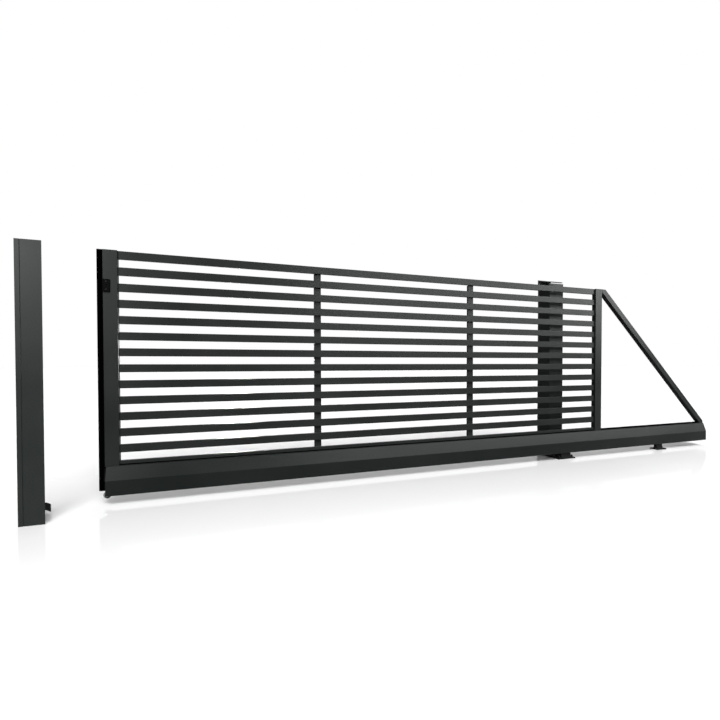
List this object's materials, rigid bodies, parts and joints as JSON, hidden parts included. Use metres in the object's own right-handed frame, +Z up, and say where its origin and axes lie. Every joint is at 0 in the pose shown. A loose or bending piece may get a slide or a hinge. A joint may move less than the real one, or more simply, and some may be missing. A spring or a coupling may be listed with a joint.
{
  "type": "cantilever sliding gate",
  "caption": "Cantilever sliding driveway gate with horizontal slats on a slotted box beam, roller carriages, a guide post and a catch post",
  "frame": {"origin": "centre line of the leaf on the underside of the front base plate, below the front carriage", "axes": "+X along the gate toward the tail, +Y away from the face that is seen, +Z up"},
  "size_m": [5.871, 0.449, 1.604],
  "materials": {
    "anthracite_aluminium": "fine satin powder coat on aluminium profiles, anthracite grey",
    "anthracite_steel": "satin powder coat on steel, anthracite grey",
    "black_rubber": "matt black rubber closing profile",
    "black_plastic": "matt black moulded plastic",
    "black_steel": "black coated steel plate, satin",
    "galvanised_steel": "zinc coated steel, dull",
    "grey_nylon": "turned grey nylon roller"
  },
  "bodies": {
    "base": {"front_base_plate": "black_steel", "front_carriage_stem": "black_steel", "front_carriage_chassis": "galvanised_steel", "front_carriage_rollers": "grey_nylon", "rear_base_plate": "black_steel", "rear_carriage_stem": "black_steel", "rear_carriage_chassis": "galvanised_steel", "rear_carriage_rollers": "grey_nylon", "guide_post": "anthracite_steel", "guide_arm": "anthracite_steel", "guide_rollers": "grey_nylon", "catch_post": "anthracite_steel", "run_in_catch": "black_steel"},
    "leaf": {"closing_strip": "black_rubber", "front_upright": "anthracite_aluminium", "rear_upright": "anthracite_aluminium", "slat_01": "anthracite_aluminium", "slat_02": "anthracite_aluminium", "slat_03": "anthracite_aluminium", "slat_04": "anthracite_aluminium", "slat_05": "anthracite_aluminium", "slat_06": "anthracite_aluminium", "slat_07": "anthracite_aluminium", "slat_08": "anthracite_aluminium", "slat_09": "anthracite_aluminium", "slat_10": "anthracite_aluminium", "slat_11": "anthracite_aluminium", "slat_12": "anthracite_aluminium", "slat_13": "anthracite_aluminium", "slat_14": "anthracite_aluminium", "front_mullion": "anthracite_aluminium", "rear_mullion": "anthracite_aluminium", "beam": "anthracite_aluminium", "beam_end_cap": "black_plastic", "beam_front_plug": "black_plastic", "strut": "anthracite_aluminium", "keeper_plate": "black_plastic", "run_in_fork": "black_steel"},
    "run_in_roller": {"run_in_roller": "grey_nylon"}
  },
  "joints": [
    {"name": "leaf_slide", "type": "slide", "parent": "base", "child": "leaf", "axis": [1, 0, 0], "range_m": [-0.36, 3.2]},
    {"name": "run_in_roller_spin", "type": "hinge", "parent": "leaf", "child": "run_in_roller", "pos_m": [-3.632, 0, 0.059], "axis": [0, 1, 0], "continuous": true}
  ]
}
